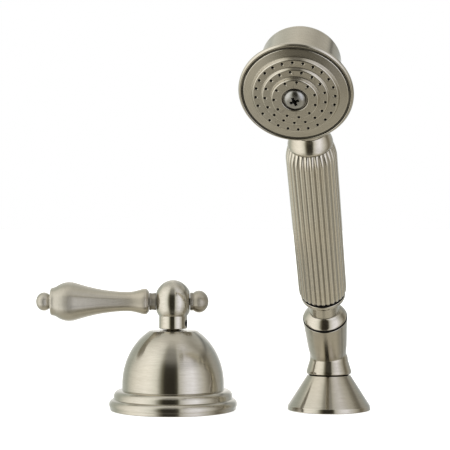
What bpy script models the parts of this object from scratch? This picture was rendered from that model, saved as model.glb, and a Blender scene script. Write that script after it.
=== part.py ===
"""Deck-mounted hand shower set, modelled in metres with +Z up and the deck at z = 0.

Two assemblies stand on one deck.  On the left a ceramic-disc diverter under a bell
escutcheon is turned by a lever handle.  On the right a cone flange carries a swivelling
cradle, and a fluted hand shower stands in the cradle, leaning towards the user (-Y).
Every dimension below is in millimetres and is scaled by MM where a mesh is made.
"""

import math

import bmesh
import bpy
from mathutils import Matrix, Vector

MM = 0.001
GAP = 0.3  # clearance between neighbouring pieces

# Placement on the deck
DIVERTER_X, DIVERTER_Y = -18.0, 70.0
HOLDER_X, HOLDER_Y = 75.4, 70.0

# Bell escutcheon
BELL_RADIUS, BELL_DOME_FOOT, BELL_DOME_RISE = 30.6, 15.0, 36.5
BELL_TOP_RADIUS, BELL_TOP = 14.1, 47.7
BELL_WALL = 1.8
UPPER_BEAD, LOWER_BEAD = (3.5, 3.6, 8.4), (3.1, 3.3, 3.5)  # radius, rise, centre height
LIP_CLEARANCE = 0.2  # both flanges' lips end this far above the deck

# Valve and stem
RISER_RADIUS, RISER_BORE, RISER_TOP = 11.5, 9.2, 43.6
CARTRIDGE_RADIUS, DISC_RADIUS = 8.9, 7.3
STEM_RADIUS, STEM_TOP = 4.0, 61.0

# Hub and lever
HUB_RADIUS, HUB_RISE, HUB_DROP, HUB_CENTRE = 11.3, 12.8, 13.4, 65.0
SKIRT_RADIUS, SKIRT_FOOT = 8.5, 48.7
LEVER_HEIGHT = 64.8
LEVER_TIP, LEVER_HEEL = 73.4, 14.5
STUD_RADIUS = 2.2
SPOT_FACE = 9.9  # the ball is faced flat this far out, where both necks seat
SET_SCREW_HEIGHT, SET_SCREW_TURN = 51.9, math.radians(-20.0)

# Cone flange, shank and cradle
CONE_RADIUS, CONE_TOP_RADIUS, CONE_TOP = 24.9, 12.9, 20.9
SHANK_RADIUS, SHANK_BORE = 8.6, 7.1
CRADLE_FOOT, CRADLE_WAIST = 21.6, 11.0
PIVOT_HEIGHT, PIVOT_SHIFT = 33.0, -0.4
HANDSET_LEAN, HANDSET_SWING = math.radians(38.6), math.radians(9.5)
MOUTH, MOUTH_RADIUS = 29.4, 13.0

# Hand shower, measured along its own axis from the cradle's pivot
GRIP_FOOT, GRIP_SHOULDER, GRIP_TOP = 50.0, 146.4, 154.9
GRIP_RADIUS_LOW, GRIP_RADIUS_HIGH, GRIP_BORE = 13.8, 13.95, 11.5
FLUTES, FLUTE_DEPTH = 28, 0.9
HEAD_CENTRE = 213.0
BARREL_RADIUS, RIM_RADIUS = 20.4, 28.76

# Spray face: holes as (count, ring radius, first hole's angle from the top)
SPRAY_RINGS = (
    (24, 19.8, math.radians(0.0)),
    (17, 15.1, math.radians(-5.0)),
    (11, 10.4, math.radians(9.3)),
)
SPRAY_HOLE_RADIUS = 0.55

# Finishes: base colour, metallic, roughness
FINISHES = {
    "nickel": ((0.47, 0.44, 0.38), 1.0, 0.32),
    "brass": ((0.72, 0.53, 0.24), 1.0, 0.35),
    "steel": ((0.62, 0.62, 0.60), 1.0, 0.28),
    "rubber": ((0.015, 0.015, 0.015), 0.0, 0.65),
    "ceramic": ((0.86, 0.85, 0.82), 0.0, 0.25),
    "plastic": ((0.80, 0.80, 0.78), 0.0, 0.45),
}


# ---------------------------------------------------------------- scene and helpers
for old in list(bpy.data.objects):
    bpy.data.objects.remove(old, do_unlink=True)

PARTS = bpy.data.collections.new("deck_hand_shower_set")
CUTTERS = bpy.data.collections.new("cutters")
bpy.context.scene.collection.children.link(PARTS)
bpy.context.scene.collection.children.link(CUTTERS)


def frame(name, location, rotation=(0.0, 0.0, 0.0), parent=None):
    """An empty that marks a joint's or an assembly's axis (its local Z)."""
    empty = bpy.data.objects.new(name, None)
    empty.empty_display_size = 20 * MM
    PARTS.objects.link(empty)
    empty.parent = parent
    empty.location = Vector(location) * MM
    empty.rotation_euler = rotation
    return empty


def finish(name, kind):
    colour, metallic, roughness = FINISHES[kind]
    material = bpy.data.materials.new(name + "_" + kind)
    material.use_nodes = True
    shader = material.node_tree.nodes["Principled BSDF"]
    shader.inputs["Base Color"].default_value = (*colour, 1.0)
    shader.inputs["Metallic"].default_value = metallic
    shader.inputs["Roughness"].default_value = roughness
    material.diffuse_color = (*colour, 1.0)
    return material


def place(name, mesh, parent, kind=None, location=(0, 0, 0), rotation=(0, 0, 0)):
    """Adds a mesh as a sub-part, or as a hidden cutter when no finish is named."""
    thing = bpy.data.objects.new(name, mesh)
    thing.parent = parent
    thing.location = Vector(location) * MM
    thing.rotation_euler = rotation
    if kind is None:
        CUTTERS.objects.link(thing)
        thing.hide_render = True
        thing.display_type = "WIRE"
    else:
        PARTS.objects.link(thing)
        mesh.materials.append(finish(name, kind))
    return thing


def rounded(points, closed):
    """Rounds each corner given as (r, z, radius); plain (r, z) corners stay sharp.

    A radius under 0.7 mm is drawn as a chamfer, a larger one with a middle point.
    """
    out = []
    for i, point in enumerate(points):
        here = Vector(point[:2])
        radius = point[2] if len(point) > 2 else 0.0
        steps = 1 if radius < 0.7 else 2
        at_end = not closed and i in (0, len(points) - 1)
        if radius == 0.0 or at_end:
            out.append(here)
            continue
        back = Vector(points[i - 1][:2]) - here
        ahead = Vector(points[(i + 1) % len(points)][:2]) - here
        reach = radius / math.tan(back.angle(ahead) / 2)
        reach = min(reach, 0.48 * back.length, 0.48 * ahead.length)
        start, end = here + back.normalized() * reach, here + ahead.normalized() * reach
        for k in range(steps + 1):
            t = k / steps
            out.append((1 - t) ** 2 * start + 2 * t * (1 - t) * here + t * t * end)
    return out


def flowing(stations, steps=2):
    """A smooth line through stations (r, z), as a Catmull-Rom spline."""
    pts = [Vector(p) for p in stations]
    pts = [2 * pts[0] - pts[1], *pts, 2 * pts[-1] - pts[-2]]
    out = [pts[1]]
    for a, b, c, d in zip(pts, pts[1:], pts[2:], pts[3:]):
        for k in range(1, steps + 1):
            t = k / steps
            out.append(
                0.5
                * (2 * b + (c - a) * t + (2 * a - 5 * b + 4 * c - d) * t * t
                   + (3 * b - a - 3 * c + d) * t**3)
            )
    return [tuple(p) for p in out]


def arc(radius, rise, centre, start, end, steps, out=0.0):
    """Points of an ellipse about (out, centre); angles run from the top, in degrees."""
    angles = [math.radians(start + (end - start) * k / steps) for k in range(steps + 1)]
    return [(out + radius * math.sin(a), centre + rise * math.cos(a)) for a in angles]


def turned(name, points, parent, kind=None, steps=24, **where):
    """A profile (r, z), running down its outer side, screwed round the local Z axis.

    A profile that starts and ends on the axis is a solid piece; any other is a ring,
    and its outline is closed along the inner side.
    """
    solid = points[0][0] == 0.0 and points[-1][0] == 0.0
    line = rounded(points, closed=not solid)
    mesh = bpy.data.meshes.new(name)
    edges = [(i, i + 1) for i in range(len(line) - 1)]
    if not solid:
        edges.append((len(line) - 1, 0))
    mesh.from_pydata([(p[0] * MM, 0.0, p[1] * MM) for p in line], edges, [])
    thing = place(name, mesh, parent, kind, **where)
    screw = thing.modifiers.new("turn", "SCREW")
    screw.steps = steps
    screw.render_steps = steps
    screw.use_merge_vertices = True
    screw.merge_threshold = 0.00001
    return thing


def prism(name, sides, radius, low, high, parent, kind=None, **where):
    """A straight bar along local Z with any number of sides."""
    bm = bmesh.new()
    bmesh.ops.create_cone(
        bm, cap_ends=True, segments=sides, radius1=radius * MM, radius2=radius * MM,
        depth=(high - low) * MM, matrix=Matrix.Translation((0, 0, (low + high) / 2 * MM)),
    )
    mesh = bpy.data.meshes.new(name)
    bm.to_mesh(mesh)
    bm.free()
    return place(name, mesh, parent, kind, **where)


def block(name, size, centre, parent, kind=None, **where):
    bm = bmesh.new()
    bmesh.ops.create_cube(bm, size=1.0)
    bmesh.ops.scale(bm, vec=Vector(size) * MM, verts=bm.verts)
    bmesh.ops.translate(bm, vec=Vector(centre) * MM, verts=bm.verts)
    mesh = bpy.data.meshes.new(name)
    bm.to_mesh(mesh)
    bm.free()
    return place(name, mesh, parent, kind, **where)


def combine(target, other, operation):
    boolean = target.modifiers.new(operation.lower(), "BOOLEAN")
    boolean.object = other
    boolean.operation = operation
    boolean.solver = "EXACT"


def cut(target, *cutters):
    for cutter in cutters:
        combine(target, cutter, "DIFFERENCE")


def washer(name, inner, outer, low, high, parent, kind, steps=20):
    ring = [(inner, high), (outer, high), (outer, low), (inner, low)]
    return turned(name, ring, parent, kind, steps)


def hex_nut(name, across_corners, bore, low, high, parent):
    nut = prism(name, 6, across_corners, low, high, parent, "brass")
    cut(nut, prism(name + "_bore", 24, bore, low - 2, high + 2, parent))
    return nut


# ---------------------------------------------------------------- axes of the assemblies
diverter = frame("diverter_axis", (DIVERTER_X, DIVERTER_Y, 0))
lever_axis = frame("lever_axis", (0, 0, LEVER_HEIGHT), (0, -math.pi / 2, 0), diverter)
finial_axis = frame("finial_axis", (0, 0, LEVER_HEIGHT), (0, math.pi / 2, 0), diverter)
holder = frame("holder_axis", (HOLDER_X, HOLDER_Y, 0))
handset = frame("handset_axis", (PIVOT_SHIFT, 0, PIVOT_HEIGHT),
                (HANDSET_LEAN, 0, -HANDSET_SWING), holder)
head = frame("head_axis", (0, 0, HEAD_CENTRE), (math.pi / 2, 0, 0), handset)


# ---------------------------------------------------------------- diverter body
washer("bell_gasket", 31.0, 36.8, 0.0, 0.7, diverter, "rubber", 24)

dome_start = math.degrees(math.asin(BELL_TOP_RADIUS / BELL_RADIUS))
inner_start = math.degrees(math.asin(15.0 / (BELL_RADIUS - BELL_WALL)))
bell = (
    [(6.5, BELL_TOP)]
    + arc(BELL_RADIUS, BELL_DOME_RISE, BELL_DOME_FOOT, dome_start, 90, 6)
    + [(BELL_RADIUS, 12.3), (32.2, 12.05)]
    + arc(*UPPER_BEAD, 12, 96, 3, out=32.1)
    + [(35.7, 6.9)]
    + arc(*LOWER_BEAD, 34, 118, 3, out=35.3)
    + [(37.6, LIP_CLEARANCE), (37.1, LIP_CLEARANCE), (37.1, 1.0)]
    + [(34.6, 1.0), (33.4, 6.0), (28.8, 12.0)]
    + arc(BELL_RADIUS - BELL_WALL, BELL_DOME_RISE - 1.2, BELL_DOME_FOOT, 90, inner_start, 3)
    + [(13.6, 45.4), (13.6, 39.5), (11.8, 39.5), (11.8, 45.4), (6.5, 45.4)]
)
turned("bell_escutcheon", bell, diverter, "nickel", 30)

riser = [
    (RISER_BORE, RISER_TOP), (RISER_RADIUS, RISER_TOP, 0.5), (RISER_RADIUS, GAP),
    (7.0, GAP), (7.0, 8.0), (RISER_BORE, 8.0),
]
turned("valve_riser", riser, diverter, "brass", 24)
washer("riser_washer", 11.8, 20.0, GAP, 1.8, diverter, "steel")
hex_nut("riser_nut", 18.4, 11.8, 2.1, 8.1, diverter)

washer("disc_seal", 4.6, 8.6, 8.3, 9.8, diverter, "rubber", 20)
cartridge = [
    (STEM_RADIUS + GAP, 37.7), (CARTRIDGE_RADIUS, 37.7, 0.4), (CARTRIDGE_RADIUS, 10.1),
    (7.7, 10.1), (7.7, 24.0), (STEM_RADIUS + GAP, 24.0),
    (STEM_RADIUS + GAP, 30.0), (5.2, 30.0), (5.2, 33.0), (STEM_RADIUS + GAP, 33.0),
]
turned("cartridge_body", cartridge, diverter, "brass", 20)
turned("bonnet_nut", [(6.9, 43.2), (8.8, 43.2), (8.8, 38.0), (6.9, 38.0)],
       diverter, "brass", 20)

fixed_disc = prism("fixed_disc", 20, DISC_RADIUS, 10.4, 13.4, diverter, "ceramic")
for side in (-1, 1):
    port = prism("fixed_port", 10, 1.9, 9, 15, diverter, location=(3.9 * side, 0, 0))
    cut(fixed_disc, port)
moving_disc = prism("moving_disc", 20, DISC_RADIUS, 13.7, 16.7, diverter, "ceramic")
cut(moving_disc, block("moving_port", (8.5, 3.6, 8), (-3.6, 0, 15), diverter))

stem = [
    (0, STEM_TOP), (STEM_RADIUS, STEM_TOP, 0.5), (STEM_RADIUS, 39.4), (3.2, 39.4),
    (3.2, 38.2), (STEM_RADIUS, 38.2), (STEM_RADIUS, 32.6), (3.2, 32.6), (3.2, 30.4),
    (STEM_RADIUS, 30.4), (STEM_RADIUS, 21.0), (7.2, 21.0), (7.2, 17.0), (0, 17.0),
]
turned("stem", stem, diverter, "brass", 16)
washer("stem_oring", 3.5, 4.9, 31.0, 31.9, diverter, "rubber", 16)
clip = washer("stem_clip", 3.5, 6.2, 38.5, 39.1, diverter, "steel", 20)
cut(clip, block("stem_clip_mouth", (7, 3.6, 4), (5.2, 0, 38.8), diverter))


# ---------------------------------------------------------------- lever handle
hub_skirt_turn = math.degrees(math.asin(SKIRT_RADIUS / HUB_RADIUS))
hub_profile = (
    arc(HUB_RADIUS, HUB_RISE, HUB_CENTRE, 0, 90, 6)
    + arc(HUB_RADIUS, HUB_DROP, HUB_CENTRE, 90, 180 - hub_skirt_turn, 3)[1:]
    + [(SKIRT_RADIUS, SKIRT_FOOT, 0.3), (0, SKIRT_FOOT)]
)
hub_profile[0] = (0.0, HUB_CENTRE + HUB_RISE)
hub = turned("hub", hub_profile, diverter, "nickel", 24)
stud_bore = STUD_RADIUS + GAP
set_screw_axis = frame("set_screw_axis", (0, 0, SET_SCREW_HEIGHT),
                       (0, math.pi / 2, SET_SCREW_TURN), diverter)
cut(
    hub,
    prism("stem_socket", 16, STEM_RADIUS + GAP, 40, STEM_TOP + GAP, diverter),
    prism("stud_socket", 12, stud_bore, -14, 14, lever_axis),
    prism("lever_spot_face", 24, 7.0, SPOT_FACE, 14, lever_axis),
    prism("finial_spot_face", 24, 7.0, SPOT_FACE, 14, finial_axis),
    prism("set_screw_hole", 12, 1.8, 2, 12, set_screw_axis),
)
prism("set_screw", 12, 1.5, 4.5, 8.0, set_screw_axis, "steel")

lever_body = flowing(
    [(8.5, 71.6), (9.7, 69.1), (11.4, 65.6), (11.8, 61.9), (10.9, 57.3), (9.0, 51.0),
     (7.2, 42.6), (6.1, 34.0), (5.86, 28.3), (6.5, 22.4), (7.5, 19.0), (7.8, 17.2)], 1)
lever_profile = (
    [(STUD_RADIUS, LEVER_TIP), (7.6, LEVER_TIP, 0.4), (8.3, 72.6, 0.4)]
    + lever_body
    + [(7.6, 15.8, 0.5), (6.0, LEVER_HEEL, 0.5), (stud_bore, LEVER_HEEL)]
)
turned("lever", lever_profile, lever_axis, "nickel", 22)
seat = SPOT_FACE + GAP
lever_collar = [
    (stud_bore, 14.2), (5.4, 14.2, 0.3), (5.3, 13.3), (5.0, 13.0), (5.1, 12.0), (5.4, seat),
    (stud_bore, seat),
]
turned("lever_collar", lever_collar, lever_axis, "nickel", 16)
prism("lever_stud", 12, STUD_RADIUS, 4.9, 34.0, lever_axis, "steel")

tip_ball = [(0.0, 82.2)] + arc(5.55, 4.8, 77.4, 22, 130, 5)
turned("lever_tip_finial",
       tip_ball + [(4.5, 73.7), (1.9, 73.7), (1.9, 60.0), (0, 60.0)],
       lever_axis, "nickel", 18)
rear_ball = [(0.0, 21.2)] + arc(6.7, 5.7, 15.5, 22, 128, 5)
turned("rear_finial",
       rear_ball + [(5.45, 11.6), (5.45, seat), (STUD_RADIUS, seat), (STUD_RADIUS, 4.9), (0, 4.9)],
       finial_axis, "nickel", 18)


# ---------------------------------------------------------------- holder on the deck
washer("flange_gasket", 20.4, 23.8, 0.0, 0.7, holder, "rubber", 24)
cone = [
    (SHANK_RADIUS + GAP, 20.4), (12.0, 20.4), (12.0, CONE_TOP), (CONE_TOP_RADIUS, CONE_TOP, 0.3),
    (CONE_RADIUS - 0.3, 2.6, 0.6), (CONE_RADIUS, LIP_CLEARANCE, 0.4), (24.1, LIP_CLEARANCE),
    (24.1, 1.0), (20.1, 1.0), (16.4, 9.5), (16.4, 10.5), (12.0, 14.0),
    (SHANK_RADIUS + GAP, 14.0),
]
turned("cone_flange", cone, holder, "nickel", 28)
shank = [
    (SHANK_BORE, 30.0), (SHANK_RADIUS, 30.0, 0.4), (SHANK_RADIUS, 28.9), (7.7, 28.9),
    (7.7, 27.7), (SHANK_RADIUS, 27.7), (SHANK_RADIUS, GAP), (SHANK_BORE, GAP),
]
turned("shank", shank, holder, "brass", 20)
washer("shank_washer", 8.9, 15.2, GAP, 1.8, holder, "steel")
hex_nut("shank_nut", 14.6, 8.9, 2.1, 8.1, holder)
washer("swivel_oring", 9.2, 11.7, 20.7, 21.3, holder, "rubber", 20)
swivel_clip = washer("swivel_clip", 8.0, 9.6, 28.0, 28.6, holder, "steel", 20)
cut(swivel_clip, block("swivel_clip_mouth", (5, 5, 4), (9, 0, 28.3), holder))

# The cradle is a flared skirt, a ball and a leaning tapered cup in one casting.
skirt = [
    (0, PIVOT_HEIGHT), (CRADLE_WAIST, PIVOT_HEIGHT), (11.7, 29.0), (13.5, 23.0, 0.8),
    (13.0, CRADLE_FOOT, 0.4), (0, CRADLE_FOOT),
]
cradle = turned("cradle", skirt, holder, "nickel", 24)
cup = [(0, MOUTH), (MOUTH_RADIUS, MOUTH, 0.3), (11.55, 8.0)]
cup += arc(CRADLE_WAIST, CRADLE_WAIST, 0, 90, 180, 4)
cup[-1] = (0.0, -CRADLE_WAIST)
cup_solid = turned("cradle_cup", cup, handset, steps=24)
combine(cradle, cup_solid, "UNION")
cup_bore = [(0, MOUTH + 3), (10.5, MOUTH + 3), (10.5, 5.0)]
cup_bore += arc(9.4, 9.4, 0, 75, 180, 4)
cup_bore[-1] = (0.0, -9.4)
skirt_bore = [
    (0, 31.0), (10.0, 31.0), (10.0, 27.6), (SHANK_RADIUS + GAP, 27.6),
    (SHANK_RADIUS + GAP, 18.0), (0, 18.0),
]
cut(
    cradle,
    turned("cradle_cup_bore", cup_bore, handset, steps=20),
    turned("cradle_skirt_bore", skirt_bore, holder, steps=20),
)

# ---------------------------------------------------------------- hand shower
turned("cradle_liner",
       [(9.7, 29.2), (10.2, 29.2), (10.2, 9.0), (8.6, 9.0), (8.6, 12.0)],
       handset, "plastic", 20)
washer("cradle_seal", 10.5, 13.05, 29.7, 30.6, handset, "rubber")
connector = [
    (7.7, 36.3), (8.8, 36.3), (9.1, 35.5), (10.4, 34.3), (11.7, 32.9), (12.6, 31.7),
    (12.8, 30.9), (9.3, 30.9), (8.1, 13.0, 0.4), (4.6, 13.0), (4.6, 22.0), (7.7, 22.0),
]
turned("hose_connector", connector, handset, "nickel", 22)
washer("connector_washer", 4.7, 7.4, 22.3, 23.7, handset, "rubber", 20)

ferrule = (
    [(7.7, 54.0), (11.1, 54.0), (11.1, 48.7), (12.8, 48.7, 0.3)]
    + arc(3.6, 3.5, 47.9, 90, 170, 3, out=9.3)
    + [(9.6, 44.2, 0.2), (8.75, 44.0), (8.75, 36.6), (7.4, 36.6), (7.4, 24.0)]
    + [(5.1, 24.0), (5.1, 39.0), (7.7, 39.0)]
)
turned("end_ferrule", ferrule, handset, "nickel", 22)
turned("check_valve", [(3.2, 37.0), (4.8, 37.0), (4.8, 26.0), (3.2, 26.0)],
       handset, "plastic", 16)
washer("grip_seal", 11.4, 12.8, 49.0, 49.7, handset, "rubber")
turned("water_tube", [(6.0, 172.0), (7.4, 172.0), (7.4, 39.3), (6.0, 39.3)],
       handset, "brass", 16)


def fluted_section(radius, height, depth, per_flute=4):
    """One level of the grip: convex reeds that meet in narrow valleys."""
    level = []
    for i in range(FLUTES * per_flute):
        turn = 2 * math.pi * i / (FLUTES * per_flute)
        swell = abs(math.sin(FLUTES * turn / 2))
        r = radius - depth * (1 - swell) ** 1.2
        level.append((r * math.cos(turn) * MM, r * math.sin(turn) * MM, height * MM))
    return level


def fluted_grip():
    """The grip's outer shape, lofted through its levels, then bored."""
    levels = [
        (GRIP_FOOT, 12.6, 0.7), (51.2, 13.4, FLUTE_DEPTH), (53.0, GRIP_RADIUS_LOW, FLUTE_DEPTH),
        (GRIP_SHOULDER, GRIP_RADIUS_HIGH, FLUTE_DEPTH),
    ]
    for k in (0.4, 0.72, 1.0):
        height = GRIP_SHOULDER + (GRIP_TOP - GRIP_SHOULDER) * k
        levels.append((height, GRIP_RADIUS_HIGH - 1.85 * k * k, FLUTE_DEPTH - 0.45 * k * k))
    bm = bmesh.new()
    rings = [
        [bm.verts.new(p) for p in fluted_section(radius, height, depth)]
        for height, radius, depth in levels
    ]
    for low, high in zip(rings, rings[1:]):
        for i in range(len(low)):
            j = (i + 1) % len(low)
            bm.faces.new((low[i], low[j], high[j], high[i]))
    bm.faces.new(list(reversed(rings[0])))
    bm.faces.new(rings[-1])
    mesh = bpy.data.meshes.new("fluted_grip")
    bm.to_mesh(mesh)
    bm.free()
    grip = place("fluted_grip", mesh, handset, "nickel")
    cut(grip, prism("grip_bore", 24, GRIP_BORE, 40, 165, handset))
    return grip


fluted_grip()

collar = (
    [(7.8, 163.5), (9.3, 163.5)]
    + [(10.5, 161.5), (11.4, 159.6), (12.05, 157.7), (12.3, 156.4), (12.15, 155.3)]
    + [(11.2, 155.3), (11.2, 150.0), (7.8, 150.0)]
)
turned("neck_collar", collar, handset, "nickel", 24)

# Head shell: a bell-mouthed cup on a ball-topped neck, in one casting.
flare = flowing([(BARREL_RADIUS, 24.0), (21.2, 28.0), (23.4, 31.8), (26.6, 34.6)], 1)
cup_outer = (
    [(0.0, 38.4), (28.2, 38.4, 0.4), (RIM_RADIUS, 37.6, 0.4), (RIM_RADIUS, 36.4, 0.5)]
    + [(28.2, 35.6)] + flare[::-1]
    + [(BARREL_RADIUS, 7.2, 1.6), (13.0, -0.4, 1.2), (0.0, -3.4)]
)
shell = turned("head_shell", cup_outer, head, "nickel", 30)
neck = arc(10.6, 10.6, HEAD_CENTRE, 0, 90, 5)
neck[0] = (0.0, HEAD_CENTRE + 10.6)
neck += flowing([(10.4, 205.0), (10.1, 198.0), (9.9, 191.0), (9.65, 182.0), (9.45, 173.0),
                 (9.35, 163.8)], 1)
neck += [(0.0, 163.8)]
combine(shell, turned("neck_solid", neck, handset, steps=24, rotation=(0, 0, 0.06)), "UNION")
cavity = [
    (0.0, 46.0), (27.35, 46.0), (27.35, 36.5), (24.6, 36.5), (22.0, 33.4), (19.7, 29.6),
    (18.9, 27.0), (18.9, 23.8), (17.6, 23.8), (17.6, 9.8, 1.2), (0.0, 9.8),
]
bore = [(0.0, HEAD_CENTRE + 6.0), (4.4, HEAD_CENTRE + 4.2), (6.2, HEAD_CENTRE)]
bore += [(6.2, 174.0), (7.7, 174.0), (7.7, 160.0), (0.0, 160.0)]
cut(
    shell,
    turned("head_cavity", cavity, head, steps=24),
    turned("neck_bore", bore, handset, steps=16, rotation=(0, 0, 0.11)),
    prism("inlet_bore", 16, 5.8, -1.0, 14.0, head, rotation=(0, 0, 0.04)),
)

flow_plate = turned(
    "flow_plate",
    [(2.3, 39.9), (4.6, 39.9), (4.6, 26.1), (18.6, 26.1), (18.6, 24.1), (2.3, 24.1)],
    head, "plastic", 20)
for k in range(6):
    turn = math.pi * (k + 0.5) / 3
    spot = (11.8 * math.cos(turn), 11.8 * math.sin(turn), 0)
    cut(flow_plate, prism("flow_hole", 8, 2.2, 23, 28, head, location=spot,
                          rotation=(0, 0, 0.13)))

face = [
    (2.4, 42.0), (6.3, 42.0), (6.5, 43.5, 0.2), (11.5, 43.5, 0.4), (12.1, 41.6, 0.3),
    (16.2, 41.6, 0.4), (16.9, 40.5, 0.3), (21.2, 40.5, 0.4), (22.0, 38.8, 0.4),
    (26.2, 38.4, 0.4), (26.2, 36.8), (21.2, 37.0), (20.6, 38.9), (16.0, 38.9),
    (11.4, 40.0), (11.2, 41.7), (7.4, 41.7), (7.0, 40.3), (2.4, 40.3),
]
spray_face = turned("spray_face", face, head, "nickel", 28)
bm = bmesh.new()
for count, ring_radius, first in SPRAY_RINGS:
    for k in range(count):
        turn = first + 2 * math.pi * k / count
        spot = Matrix.Translation(
            (ring_radius * math.sin(turn) * MM, ring_radius * math.cos(turn) * MM, 41 * MM))
        bmesh.ops.create_cone(bm, cap_ends=True, segments=6, radius1=SPRAY_HOLE_RADIUS * MM,
                              radius2=SPRAY_HOLE_RADIUS * MM, depth=8 * MM, matrix=spot)
hole_mesh = bpy.data.meshes.new("spray_holes")
bm.to_mesh(hole_mesh)
bm.free()
cut(spray_face, place("spray_holes", hole_mesh, head))

washer("face_seal", 26.5, 27.05, 36.8, 38.2, head, "rubber", 28)
face_screw = turned(
    "face_screw",
    [(0.0, 45.4), (3.0, 45.2), (4.8, 44.4, 0.6), (5.5, 43.2, 0.4), (5.5, 42.3),
     (2.0, 42.3), (2.0, 28.0), (0.0, 28.0)], head, "steel", 16)
for turn in (0.0, math.pi / 2):
    slot = block("driver_slot", (5.6, 1.1, 3.0), (0, 0, 45.3), head,
                 rotation=(0, 0, turn + math.radians(20)))
    cut(face_screw, slot)


# ---------------------------------------------------------------- bake and shade
bpy.context.view_layer.update()
depsgraph = bpy.context.evaluated_depsgraph_get()
baked = {}
for thing in PARTS.objects:
    if thing.type == "MESH":
        baked[thing.name] = bpy.data.meshes.new_from_object(thing.evaluated_get(depsgraph))
for thing in PARTS.objects:
    if thing.type == "MESH":
        thing.modifiers.clear()
        thing.data = baked[thing.name]
        thing.data.name = thing.name
        thing.data.shade_smooth()
        thing.data.set_sharp_from_angle(angle=math.radians(32))
for cutter in list(CUTTERS.objects):
    bpy.data.objects.remove(cutter, do_unlink=True)
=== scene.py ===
"""Deck-mounted hand shower set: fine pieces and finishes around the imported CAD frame.

Profiles are in millimetres in each piece's own frame, with local Z along its axis, and
are scaled by MM where a mesh is made.
"""

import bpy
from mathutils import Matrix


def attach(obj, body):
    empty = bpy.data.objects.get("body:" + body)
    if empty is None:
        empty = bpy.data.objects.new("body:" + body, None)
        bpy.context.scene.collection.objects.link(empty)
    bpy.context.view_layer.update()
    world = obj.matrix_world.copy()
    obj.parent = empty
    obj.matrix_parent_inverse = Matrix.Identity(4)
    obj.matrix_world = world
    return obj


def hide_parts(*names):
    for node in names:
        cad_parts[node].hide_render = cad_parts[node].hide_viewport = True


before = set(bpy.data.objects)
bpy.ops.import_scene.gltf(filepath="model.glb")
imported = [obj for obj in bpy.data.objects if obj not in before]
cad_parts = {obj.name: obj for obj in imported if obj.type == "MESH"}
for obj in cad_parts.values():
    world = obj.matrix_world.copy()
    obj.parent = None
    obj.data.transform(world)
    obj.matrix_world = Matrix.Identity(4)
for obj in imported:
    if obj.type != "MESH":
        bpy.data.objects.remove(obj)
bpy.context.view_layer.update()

import math

import bmesh
import bpy
from mathutils import Euler, Matrix, Vector

MM = 0.001


# ---------------------------------------------------------------- frames of the assemblies
def moved(x, y, z):
    return Matrix.Translation(Vector((x, y, z)) * MM)


def turned_by(x, y, z):
    return Euler((x, y, z)).to_matrix().to_4x4()


QUARTER = math.pi / 2
LEAN, SWING = math.radians(38.6), math.radians(9.5)
LEVER_HEIGHT = 64.8
SET_SCREW_HEIGHT, SET_SCREW_TURN = 51.9, math.radians(-20)
PIVOT_SHIFT, PIVOT_HEIGHT, HEAD_CENTRE = -0.4, 33.0, 213.0
DIVERTER = moved(-18.0, 70.0, 0.0)
LEVER = DIVERTER @ moved(0, 0, LEVER_HEIGHT) @ turned_by(0, -QUARTER, 0)
FINIAL = DIVERTER @ moved(0, 0, LEVER_HEIGHT) @ turned_by(0, QUARTER, 0)
SET_SCREW = (DIVERTER @ moved(0, 0, SET_SCREW_HEIGHT)
             @ turned_by(0, QUARTER, SET_SCREW_TURN))
HOLDER = moved(75.4, 70.0, 0.0)
HANDSET = HOLDER @ moved(PIVOT_SHIFT, 0, PIVOT_HEIGHT) @ turned_by(LEAN, 0, -SWING)
HEAD = HANDSET @ moved(0, 0, HEAD_CENTRE) @ turned_by(QUARTER, 0, 0)


# ---------------------------------------------------------------- profiles
def arc(radius, rise, centre, start, end, steps, out=0.0):
    """Points of an ellipse about (out, centre); angles run from the top, in degrees."""
    angles = [math.radians(start + (end - start) * k / steps) for k in range(steps + 1)]
    return [(out + radius * math.sin(a), centre + rise * math.cos(a)) for a in angles]


def flowing(stations, steps=8):
    """A smooth line through stations (r, z), as a Catmull-Rom spline."""
    pts = [Vector(p) for p in stations]
    pts = [2 * pts[0] - pts[1], *pts, 2 * pts[-1] - pts[-2]]
    out = [pts[1]]
    for a, b, c, d in zip(pts, pts[1:], pts[2:], pts[3:]):
        for k in range(1, steps + 1):
            t = k / steps
            out.append(
                0.5
                * (2 * b + (c - a) * t + (2 * a - 5 * b + 4 * c - d) * t * t
                   + (3 * b - a - 3 * c + d) * t**3)
            )
    return [tuple(p) for p in out]


def softened(points, closed, edge):
    """Rounds every corner of a profile; (r, z, radius) sets a corner's own radius.

    Returns rows (r, z, wear, grime_and_shade): wear is 1 on outer corners; grime_and_shade is 1 on
    inner ones, which the finish darkens as soiling and painted shade.
    """
    sharpest_kept, most_reach, degrees_per_step = math.radians(11), 0.45, 14
    rows = []
    count = len(points)
    for i, point in enumerate(points):
        here = Vector(point[:2])
        if not closed and i in (0, count - 1):
            rows.append((*here, 0.0, 0.0))
            continue
        back = Vector(points[i - 1][:2]) - here
        ahead = Vector(points[(i + 1) % count][:2]) - here
        turn = math.pi - back.angle(ahead, math.pi)
        if turn < sharpest_kept:
            rows.append((*here, 0.0, 0.0))
            continue
        radius = point[2] if len(point) > 2 else edge
        reach = radius * math.tan(turn / 2)
        reach = min(reach, most_reach * back.length, most_reach * ahead.length)
        start, end = here + back.normalized() * reach, here + ahead.normalized() * reach
        outer = back.x * ahead.y - back.y * ahead.x > 0
        steps = max(2, min(8, round(math.degrees(turn) / degrees_per_step)))
        w = 1 / math.cos(turn / 2)
        for k in range(steps + 1):
            t = k / steps
            a, b, c = (1 - t) ** 2, 2 * t * (1 - t) / w, t * t
            spot = (a * start + b * here + c * end) / (a + b + c)
            peak = math.sin(math.pi * t)
            rows.append((*spot, peak if outer else 0.0, 0.0 if outer else peak))
    return rows


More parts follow.
